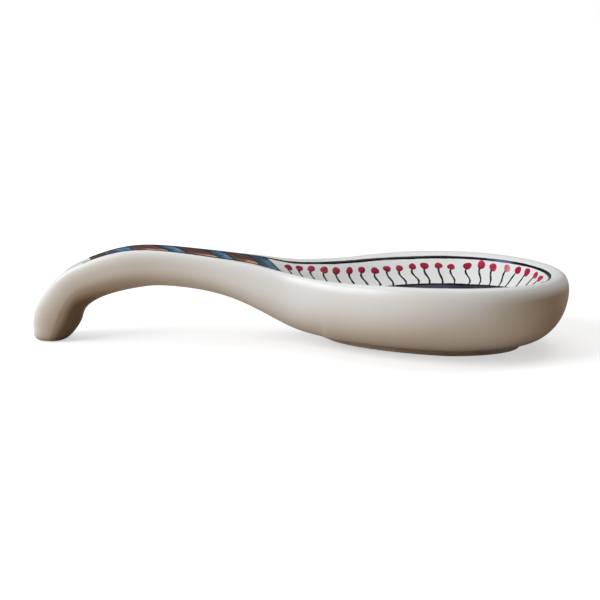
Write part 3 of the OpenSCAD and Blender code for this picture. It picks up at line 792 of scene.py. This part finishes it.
# where the stems end on the floor's line, pixels from the left
FOOT_PX = np.array([
    291.0, 304.2, 315.6, 328.2, 342.6, 355.2, 367.4, 380.0, 393.4, 406.0, 418.4,
    429.6, 442.9, 454.1, 468.4, 478.5, 488.5, 498.0, 504.5, 514.5, 522.0, 528.0])
NEAR_SHIFT = 0.3               # ribs by which the near row lies further on
BUD_HALF = 0.54                # a dab's half size as a share of its size in pixels
STEM_TOP, STEM_HALF = 1.2, 0.58      # mm: start below the bud's middle, half width
FEET_T = 0.08                  # least t of a stem's foot


def under_pixel(px, rib, t, rounds=12):
    """Rib and t on the far side that are seen at a pixel, by Newton's method:
    a step is the miss in pixels over the change in pixels for a small move, cut
    to half a rib and 0.1 of t."""
    for _ in range(rounds):
        here = pixel(on_top(rib, t))
        by_rib = (pixel(on_top(rib + 0.01, t)) - here) / 0.01
        by_t = (pixel(on_top(rib, t + 0.003)) - here) / 0.003
        table = np.stack([by_rib, by_t], -1)
        step = np.linalg.solve(table, (px - here)[..., None])[..., 0]
        rib = rib + np.clip(step[..., 0], -0.5, 0.5)
        t = np.clip(t + np.clip(step[..., 1], -0.1, 0.1), 0.3, 0.97)
    return rib, t


guess = np.linspace(FAN + 5, 0.5, len(BUD_PX))
bud_rib, bud_t = under_pixel(BUD_PX, guess, np.full(len(BUD_PX), 0.85))
miss = np.abs(pixel(on_top(bud_rib, bud_t)) - BUD_PX).max()
print("buds on ribs:", bud_rib.round(2), "worst miss, px:", round(float(miss), 2))
print("t of the buds:", bud_t.round(2))


def feet():
    """Rib at which the floor's line is seen at each foot's pixel, far side. Behind
    the floor the feet run on near the middle line."""
    ribs = np.linspace(0.3, FLOOR_END + 0.5, 330)
    edge = np.maximum(floor_edge(ribs), FEET_T)
    seen = pixel(on_top(ribs, edge + FLOOR_W / 2 / rib_width(ribs)))[:, 0]
    return np.interp(FOOT_PX, seen[::-1], ribs[::-1])


foot_rib = feet()
print("feet on ribs:", foot_rib.round(2))

# %% Buds
def all_buds():
    """Ribs, signed t and looks of both rows. The near row lies NEAR_SHIFT on and
    each dab takes its neighbour's look, so that the two sides differ."""
    rib = np.concatenate([bud_rib, bud_rib + NEAR_SHIFT])
    t = np.concatenate([bud_t, -bud_t])
    look = np.concatenate([BUD_LOOK, np.roll(BUD_LOOK, 1, axis=0)])
    return rib[:, None, None], t[:, None, None], look[:, :, None, None]


def per_pixel(rib, t):
    """What one pixel across and one down are in rib and t on the far wall: the
    inverse of the 2 by 2 table of pixels for a small step of rib and of t."""
    here, step = pixel(on_top(rib, t)), 0.01
    table = np.stack([(pixel(on_top(rib + step, t)) - here) / step,
                      (pixel(on_top(rib, t - step)) - here) / -step], -1)
    return np.linalg.inv(table)[..., None, None]


def buds():
    """Polar grid: radius 1 + 0.04 sin(2 a + s) + 0.05 sin(3 a + 2 s) times
    BUD_HALF of width and height, turned by the tilt and laid on rib and t."""
    rib, t, look = all_buds()
    turned = per_pixel(bud_rib, bud_t)
    turned = np.concatenate([turned, turned])
    wide, high, tilt, thin = (look[:, k] for k in range(4))
    seed = np.arange(len(rib))[:, None, None] * 1.9
    a = np.radians(np.arange(0, 360, 15))[None, :, None]
    r = np.linspace(0, 1, 7)[None, None, :]
    edge = 1 + 0.04 * np.sin(2 * a + seed) + 0.05 * np.sin(3 * a + 2 * seed)
    x = BUD_HALF * wide * r * edge * np.cos(a)
    y = BUD_HALF * high * r * edge * np.sin(a)
    turn = np.radians(tilt)
    across = x * np.cos(turn) - y * np.sin(turn)
    down = x * np.sin(turn) + y * np.cos(turn)
    on_rib = rib + turned[:, 0, 0] * across + turned[:, 0, 1] * down
    on_t = t + np.sign(t) * (turned[:, 1, 0] * across + turned[:, 1, 1] * down)
    tone = thin + 0.16 * r ** 3 + 0.10 * np.sin(a + seed) * r
    return lens("crimson_buds", on_rib, on_t, np.sqrt(1 - r ** 2), tone, "red_bud",
                crimson, ["buds"], wrap_rows=True)


buds()

# %% Stems
def stems():
    """Down the wall from d = 0 at the bud to 1 at the foot, carried from rib to
    rib by d d (3 - 2 d), swayed by sin(2 pi d), and hooked back over the last
    fifth; straight round the nose, where bent is 0."""
    rib, t, _ = all_buds()
    foot = np.concatenate([foot_rib, foot_rib])[:, None, None]
    seed = np.arange(len(rib))[:, None, None] * 2.7
    d = np.linspace(0, 1, 25)[None, :, None]
    v = np.linspace(-1, 1, 5)[None, None, :]
    t_top = np.abs(t) - STEM_TOP / mm_per_t(rib, t)
    t_end = np.maximum(floor_edge(foot), FEET_T) + FLOOR_W / 2 / rib_width(foot)
    on_t = t_top + (t_end - t_top) * d
    sway = -0.42 + wobble(seed, 3, 0.3)
    hook = 0.9 * np.clip((d - 0.8) / 0.2, 0, 1) ** 2 * (foot > 3.5)
    push = sway * np.sin(2 * np.pi * d) - hook * (1 - d) * 6
    half = STEM_HALF * (0.85 + 0.3 * np.sin(np.pi * d))
    half = half * (1 + wobble(8 * d + seed, 2, 0.25))
    half = half * np.clip(np.minimum(d, 1 - d) * 18, 0, 1) ** 0.5
    bent = np.clip((rib - 2) / 2, 0, 1)
    carry = d + (d * d * (3 - 2 * d) - d) * bent
    on_rib = rib + (foot - rib) * carry - (push * bent + half * v) / mm_per_rib(rib, t)
    tone = 0.25 + 0.25 * d + wobble(6 * d + seed, 5, 0.2) + 0 * v
    return lens("flicked_stems", on_rib, np.sign(t) * on_t,
                np.sqrt(1 - v ** 2) * 1.3, tone, "stem_ink", ink, ["stems"],
                wrap_cols=True)


stems()

# %% [markdown]
# ## The bands on the handle
# Blue and brown washes lie slantwise over the handle, each laid against the last
# with a thin dark line between, and no two are equally wide. The four blue ones
# are placed where they cross the far and the near edge in the picture, and the
# brown ones fill what is left. Every band is a patch between two slanting
# curves, because freehand strokes have no straight edges.

# %% Places of the bands
# for each blue band: left and right at the far edge, left and right at the near
BAND_PX = np.array([(105.0, 125.0, 107.0, 133.0), (153.7, 173.4, 172.0, 187.0),
                    (202.0, 221.0, 221.0, 234.5), (246.6, 262.8, 261.0, 286.0)])
# where the paint ends towards the tip, at the far and at the near edge
BANDS_LEFT_PX = (86.0, 90.0)


def rib_at(px, side):
    """Rib at which the rim line of one side is seen at a pixel from the left."""
    ribs = np.linspace(8, BANDS_END, 200)
    seen = pixel(on_top(ribs, side * rim_out(ribs)))[:, 0]
    return np.interp(px, seen[::-1], ribs[::-1])


BAND_S = np.linspace(-1, 1, 61)      # across the handle, near to far
BAND_U = np.linspace(0, 1, 33)       # along a band's own width


def slant(far_px, near_px, bow=0.02):
    """Ribs of the bands' edges at s, from -1 near to 1 far: a straight mix of
    their two ends, bowed ahead by bow (1 - s^2)."""
    far, near = rib_at(np.array(far_px), 1), rib_at(np.array(near_px), -1)
    s = BAND_S[None, :, None]
    return (near[:, None, None] * (1 - s) / 2 + far[:, None, None] * (1 + s) / 2
            - bow * (1 - s * s))


def patch(name, left, right, tone, slot, material, node):
    """A lens between two slanting edges, over the handle from line to line."""
    u = BAND_U[None, None, :]
    rib = left + (right - left) * u
    s = BAND_S[None, :, None]
    to_edge = np.minimum(np.minimum(u, 1 - u) * 3, 1 - np.abs(s))
    dome = np.sqrt(np.clip(10 * to_edge, 0, 1))
    return lens(name, rib, s * rim_out(rib), dome, tone, slot, material, [node],
                wrap_cols=True)


far_l, far_r, near_l, near_r = BAND_PX.T
blue_left = slant(far_l, near_l)
blue_right = slant(far_r, near_r)
print("blue bands start at ribs:", blue_right[:, len(BAND_S) // 2, 0].round(2))

# %% Blue and brown bands
def soft_step(x):
    """0 below 0, 1 above 1, and 3 x^2 - 2 x^3 between."""
    x = np.clip(x, 0, 1)
    return x * x * (3 - 2 * x)


def bands():
    """Blue: dark at the left, with a lighter stroke right of the middle. Brown:
    dark at the far edge, tan where it ran thin at the near edge; the one at the
    tip is dark all over, with a tone of 0. Neighbours stay apart by gap, in ribs,
    where the lines go."""
    u, s = BAND_U[None, None, :], BAND_S[None, :, None]
    seed = np.arange(4)[:, None, None] * 1.7
    streaks = wobble(9 * u + 1.2 * s, seed, 0.16)
    deep = np.array([0.2, 0, 0, 0.06])[:, None, None] * (1 - u)
    pale = soft_step(1.6 * u - 0.1) * soft_step((1.1 - s) / 0.9)
    blue_tone = 0.14 - deep + 0.5 * pale + streaks
    patch("blue_bands_brushed", blue_left, blue_right, blue_tone, "blue", blue,
          "blue_bands")
    gap = 0.01
    first = slant([BANDS_LEFT_PX[0]], [BANDS_LEFT_PX[1]])
    brown_left = np.concatenate([first, blue_right[:-1] - gap])
    brown_right = blue_left + gap
    tan = soft_step((-s - 0.15) / 0.7) * soft_step((u - 0.15) / 0.5)
    first_dark = np.array([0.0, 1.0, 1.0, 1.0])[:, None, None]
    brown_tone = (0.1 + 0.13 * (1 - s) + 0.78 * tan + streaks) * first_dark
    patch("brown_bands_brushed", brown_left, brown_right, brown_tone, "brown", brown,
          "brown_bands")


bands()

# %% Lines between the bands
def band_lines():
    """Lens-shaped strokes along every blue edge; the one at the bowl is bold."""
    s = BAND_S[:, None]
    v = np.linspace(-1, 1, 7)[None, :]
    half = np.array([0.3, 0.3, 0.32, 0.72, 0.25, 0.25, 0.25, 0.25])[:, None, None]
    beside = 0.015                 # ribs by which a line lies outside its band
    mid = np.concatenate([blue_right - beside, blue_left + beside])
    half = half * (1 + wobble(3 * s + np.arange(8)[:, None, None], 4, 0.3))
    half = half * np.clip((1 - np.abs(s)) * 12, 0, 1) ** 0.5
    rib = mid - half * v / mm_per_rib(mid, s * rim_out(mid))
    return lens("band_outlines", rib, s * rim_out(rib), 1.7 * np.sqrt(1 - v ** 2),
                0.25 + 0 * v, "black_line", black, ["band_lines"], wrap_cols=True)


band_lines()

# %% [markdown]
# ## Floor, light and background
# A plain white table. It gives the camera some light of its own, less of it near
# the piece, so that it reads as white and keeps the shadow. A large soft lamp stands
# at the left and a little in front, as the highlights on the lip say, and weak
# ones above and at the back right fill.

# %% Floor and world
def floor():
    """A square 6 m wide at the table's height. Its own light for the camera grows
    from 0.55 near the piece to 1, so that the shadow stays and the rest is white."""
    half = 3
    corners = [(-half, -half, 0), (half, -half, 0), (half, half, 0), (-half, half, 0)]
    mesh = bpy.data.meshes.new("table")
    mesh.from_pydata(corners, [], [(0, 1, 2, 3)])
    table = bpy.data.objects.new("table", mesh)
    bpy.context.scene.collection.objects.link(table)
    material, tree = new_material("matt_white_table")
    ray = add(tree, "ShaderNodeLightPath")
    place = add(tree, "ShaderNodeTexCoord")
    away = add(tree, "ShaderNodeVectorMath", {"operation": "LENGTH"},
               i0=place.outputs["Object"])
    plain = add(tree, "ShaderNodeMix", {"data_type": "RGBA"},
                i0=ray.outputs["Is Camera Ray"], i6=colour("c2b2a0"),
                i7=colour("d8d8d8"))
    cloth = add(tree, "ShaderNodeBsdfDiffuse", Color=plain.outputs[2])
    glow_near = add(tree, "ShaderNodeMapRange", Value=away.outputs["Value"],
                    i1=0.2, i2=0.6, i3=0.55, i4=1.0)
    lift = add(tree, "ShaderNodeMath", {"operation": "MULTIPLY"},
               i0=ray.outputs["Is Camera Ray"], i1=glow_near.outputs[0])
    glow = add(tree, "ShaderNodeEmission", Color=colour("ffffff"),
               Strength=lift.outputs[0])
    both = add(tree, "ShaderNodeAddShader", i0=cloth.outputs[0], i1=glow.outputs[0])
    add(tree, "ShaderNodeOutputMaterial", Surface=both.outputs[0])
    table.data.materials.append(material)


def surroundings():
    """White where the camera looks, dim and faintly warm for all other rays."""
    world = bpy.data.worlds.new("studio")
    world.use_nodes = True
    tree = world.node_tree
    tree.nodes.clear()
    ray = add(tree, "ShaderNodeLightPath")
    dim = add(tree, "ShaderNodeBackground", Color=colour("eceae8"), Strength=0.28)
    white = add(tree, "ShaderNodeBackground", Color=colour("ffffff"), Strength=1.0)
    pick = add(tree, "ShaderNodeMixShader", i0=ray.outputs["Is Camera Ray"],
               i1=dim.outputs[0], i2=white.outputs[0])
    add(tree, "ShaderNodeOutputWorld", Surface=pick.outputs[0])
    bpy.context.scene.world = world


floor()
surroundings()
print("world:", bpy.context.scene.world.name)

# %% Lamps
def lamp(name, place, aim, size, power, code):
    """A square area lamp at a place in metres that points at aim. Its axis -Z
    runs along the line from place to aim."""
    data = bpy.data.lights.new(name, "AREA")
    data.size, data.energy, data.color = size, power, colour(code)[:3]
    lamp_object = bpy.data.objects.new(name, data)
    back = unit(np.array(place, float) - np.array(aim, float))
    right = unit(np.cross([0.0, 0.0, 1.0], back))
    lamp_object.matrix_world = aimed(right, np.cross(back, right), back, place)
    bpy.context.scene.collection.objects.link(lamp_object)


PIECE = (0.0, 0.0, 0.02)       # the middle of the spoon rest, in metres
lamp("window", (-1.15, -0.58, 0.83), PIECE, 0.8, 17.0, "f6faff")
lamp("overhead", (0.0, 0.2, 1.4), PIECE, 1.2, 3.6, "ffffff")
lamp("back_right", (0.5, 0.3, 1.2), PIECE, 0.8, 3.0, "ffffff")
bpy.context.scene.view_settings.view_transform = "Standard"
print("lamps, W:", {light.name: light.energy for light in bpy.data.lights})
